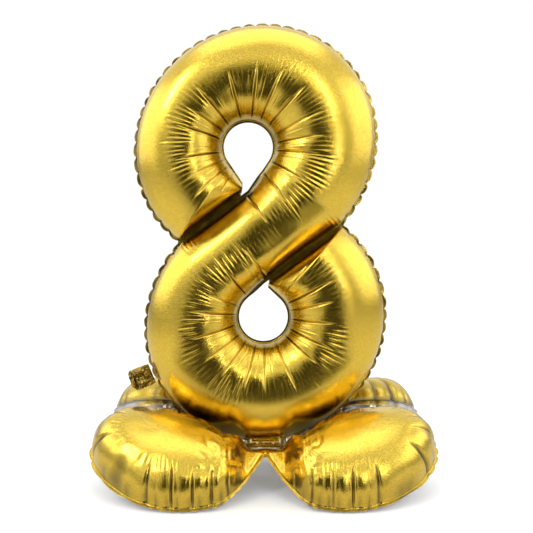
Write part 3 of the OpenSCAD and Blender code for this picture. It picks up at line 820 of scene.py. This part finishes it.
def sleeve_ply(node, body, seed):
    """One ply of a valve's sleeve: a rounded tongue with pressed channels along it."""
    mesh = frame["nodes"][node].data
    points = np.array([v.co[:] for v in mesh.vertices]) / MM
    centre = (points.min(0) + points.max(0)) / 2
    axes = np.linalg.svd(points - points.mean(0), full_matrices=False)[2]
    along_p, across_p = (points - centre) @ axes[0], (points - centre) @ axes[1]
    wide = np.abs(across_p[along_p > along_p.max() - 0.5]).max()
    long_axis = axes[0] if wide < 8 else -axes[0]
    centre = centre + axes[0] * (along_p.max() + along_p.min()) / 2 \
        + axes[1] * (across_p.max() + across_p.min()) / 2
    length, half = np.ptp(along_p), np.ptp(across_p) / 2
    u, w = np.meshgrid(
        np.linspace(-length / 2, length / 2 - 0.05, 60), np.linspace(-1, 1, 28), indexing="ij")
    tip = np.clip(u - (length / 2 - half), 0, half - 0.05) / half
    width = half * np.sqrt(1 - tip ** 2)
    h = 0.04 * np.cos(w * math.pi * 4) + 0.03 * noise(u / 6, w * 2, seed)
    grid = placed_grid(centre, long_axis, axes[1], u, w * width, h)
    build(node.replace("_valve", "_sleeve"), shell(grid, 0.2), valve_film, body, (0, -1, 0), [node],
          True)


for node, body, material, finish, shape in (
    ("number_valve_tail", "number_tail", gold, "gold_film", (38, -6, 5.5, 21, 0.75)),
    ("front_feet_valve_tail", "front_tail", silver, "silver_film", (25, 0.2, 0.4, 22)),
    ("rear_feet_valve_tail", "rear_tail", silver, "silver_film", (28, 1.5, 1.6, 23)),
):
    valve_tail(node, body + "_flap", body, material, finish, *shape)
for node, body, seed in (
    ("number_valve_front_ply", "number", 31), ("number_valve_back_ply", "number", 32),
    ("front_feet_valve_upper_ply", "front_feet", 33), ("front_feet_valve_lower_ply", "front_feet", 34),
    ("rear_feet_valve_upper_ply", "rear_feet", 35), ("rear_feet_valve_lower_ply", "rear_feet", 36),
):
    sleeve_ply(node, body, seed)

# the strap under the number, with two fins that grip its bottom weld
strap_lo, strap_hi = (np.array(c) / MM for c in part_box("link_strap"))
STRAP_HALF_W = 34
x, y = np.meshgrid(
    np.linspace(-STRAP_HALF_W, STRAP_HALF_W, 110), np.linspace(strap_lo[1], strap_hi[1], 110),
    indexing="ij")
calm = smooth(0, 3, y - strap_lo[1]) * smooth(0, 3, strap_hi[1] - y)
rumple = 1.5 * (1 - ridged(x / 8, y / 13, 41))
z = STRAP_Z + 0.3 - calm * (rumple + 0.8 * np.abs(np.sin(x / 2.6 + noise(y / 20, 0, 42))))
grids = shell(np.stack([x, y, z], axis=-1), 0.4)
for face in (-1, 1):
    fx, fz = np.meshgrid(np.linspace(strap_lo[0], strap_hi[0], 90), np.linspace(0, 1, 12), indexing="ij")
    fy = face * (0.75 + 0.25 * np.sin(fx / 1.7) * fz)
    top = 5.2 + 0.8 * np.sin(fx / 3.1 + face)
    grids += shell(np.stack([fx, fy, STRAP_Z + 0.2 + fz * top], axis=-1), 0.35)
# painted shade, slight, over the whole strap and its fins
build("link_strap_film", grids, gold, "number", (0, 0, 1), ["link_strap"], True,
      [np.full(g.shape[:2], 0.2) for g in grids])

for side, pair in ((-1, "front"), (1, "rear")):
    x, q = np.meshgrid(
        np.linspace(-22, 22, 80), np.linspace(NECK_IN + 0.4, NECK_IN + WELD - 0.4, 14), indexing="ij")
    bubble = 0.62 + 0.1 * noise(x / 3, q / 2, 51) + 0.05 * np.sin(x * 1.3)
    build(f"{pair}_pad_tape", shell(on_pair(side, x, q, bubble), 0.3), tape, f"{pair}_feet", (0, 0, 1),
          [f"{pair}_joint_pad"], True)

# ---------------------------------------------------------------- floor and light
floor_mesh = bpy.data.meshes.new("floor")
floor_mesh.from_pydata([(-9, -9, 0), (9, -9, 0), (9, 9, 0), (-9, 9, 0)], [], [(0, 1, 2, 3)])
floor = bpy.data.objects.new("floor", floor_mesh)
bpy.context.scene.collection.objects.link(floor)
floor_material, floor_tree, floor_shader = new_material("floor")
floor_path = floor_tree.nodes.new("ShaderNodeLightPath")
floor_colour = mix_colour(
    floor_tree, floor_path.outputs["Is Glossy Ray"], (0.9, 0.9, 0.895), (0.62, 0.60, 0.56))
floor_tree.links.new(floor_colour, floor_shader.inputs["Base Color"])
floor_shader.inputs["Roughness"].default_value = 0.8
floor_shader.inputs["Emission Color"].default_value = (1, 1, 1, 1)
floor_tree.links.new(remap(floor_tree, floor_path.outputs["Is Camera Ray"], 0, 1, 0, 0.14),
                     floor_shader.inputs["Emission Strength"])
floor_mesh.materials.append(floor_material)

world = bpy.data.worlds.new("world")
bpy.context.scene.world = world
world.use_nodes = True
tree = world.node_tree
tree.nodes.clear()
coord = tree.nodes.new("ShaderNodeTexCoord")
split = tree.nodes.new("ShaderNodeSeparateXYZ")
tree.links.new(coord.outputs["Generated"], split.inputs["Vector"])


def ramp(value, stops):
    node = tree.nodes.new("ShaderNodeValToRGB")
    node.color_ramp.interpolation = "EASE"
    while len(node.color_ramp.elements) < len(stops):
        node.color_ramp.elements.new(0.5)
    for element, (at, level) in zip(node.color_ramp.elements, stops):
        element.position = at
        element.color = (level, level, level, 1)
    tree.links.new(value, node.inputs["Fac"])
    return node.outputs["Color"]


# what the foil mirrors: a pale studio that darkens towards the floor and straight ahead of the
# number; seen directly, and as soft light, the background is plain white
height = ramp(remap(tree, split.outputs["Z"], -1, 1, 0, 1),
              [(0.44, 0.18), (0.50, 0.34), (0.57, 0.60), (0.70, 0.95), (1.0, 0.85)])
depth = ramp(remap(tree, split.outputs["Y"], -1, 1, 0, 1),
             [(0.0, 0.05), (0.01, 0.08), (0.04, 1.0), (1.0, 1.0)])
studio = tree.nodes.new("ShaderNodeMix")
studio.data_type = "RGBA"
studio.blend_type = "MULTIPLY"
studio.inputs["Factor"].default_value = 1.0
tree.links.new(height, studio.inputs["A"])
tree.links.new(depth, studio.inputs["B"])
light_path = tree.nodes.new("ShaderNodeLightPath")
pale = mix_colour(tree, light_path.outputs["Is Camera Ray"], (1.0, 1.0, 1.0), (1.0, 1.0, 1.0))
seen = mix_colour(tree, light_path.outputs["Is Glossy Ray"], pale, studio.outputs["Result"])
background = tree.nodes.new("ShaderNodeBackground")
tree.links.new(seen, background.inputs["Color"])
output = tree.nodes.new("ShaderNodeOutputWorld")
tree.links.new(background.outputs["Background"], output.inputs["Surface"])


def area_light(name, at, target, width, height, power, colour=(1, 1, 1)):
    data = bpy.data.lights.new(name, "AREA")
    data.shape = "RECTANGLE"
    data.size, data.size_y = width, height
    data.energy = power
    data.color = colour
    light = bpy.data.objects.new(name, data)
    light.location = at
    light.rotation_euler = (Vector(target) - Vector(at)).to_track_quat("-Z", "Y").to_euler()
    light.visible_camera = False
    bpy.context.scene.collection.objects.link(light)


area_light("key", (-1.1, -1.0, 1.45), (0, 0, 0.55), 0.22, 0.5, 4.2)
area_light("left_card", (-1.35, -0.1, 1.0), (0, 0, 0.65), 1.6, 1.0, 4.4)
area_light("right_card", (1.35, -0.15, 0.95), (0, 0, 0.6), 1.6, 1.1, 4.8)
area_light("top", (0, -0.1, 1.9), (0, 0, 0.5), 1.6, 1.2, 6)
area_light("strip", (0.62, -1.6, 1.2), (0.05, 0, 0.6), 0.14, 0.5, 1.8)
area_light("low_front", (0.75, -1.5, 0.55), (0.1, 0, 0.1), 0.18, 0.2, 0.9)

# a dark card that stands and lies in front of the number: only reflections see it
card_mesh = bpy.data.meshes.new("card")
card_points = [(-0.46, -1.5, 0.003), (0.44, -1.5, 0.003), (0.44, -1.5, 1.04), (-0.46, -1.5, 1.04),
               (0.44, -0.36, 0.003), (-0.46, -0.36, 0.003)]
card_mesh.from_pydata(card_points, [], [(0, 1, 2, 3), (0, 1, 4, 5)])
card = bpy.data.objects.new("card", card_mesh)
bpy.context.scene.collection.objects.link(card)
card_material, _, card_shader = new_material("card")
card_shader.inputs["Base Color"].default_value = (0.02, 0.018, 0.015, 1)
card_shader.inputs["Roughness"].default_value = 0.9
card_mesh.materials.append(card_material)
for ray in ("camera", "diffuse", "shadow", "transmission"):
    setattr(card, f"visible_{ray}", False)
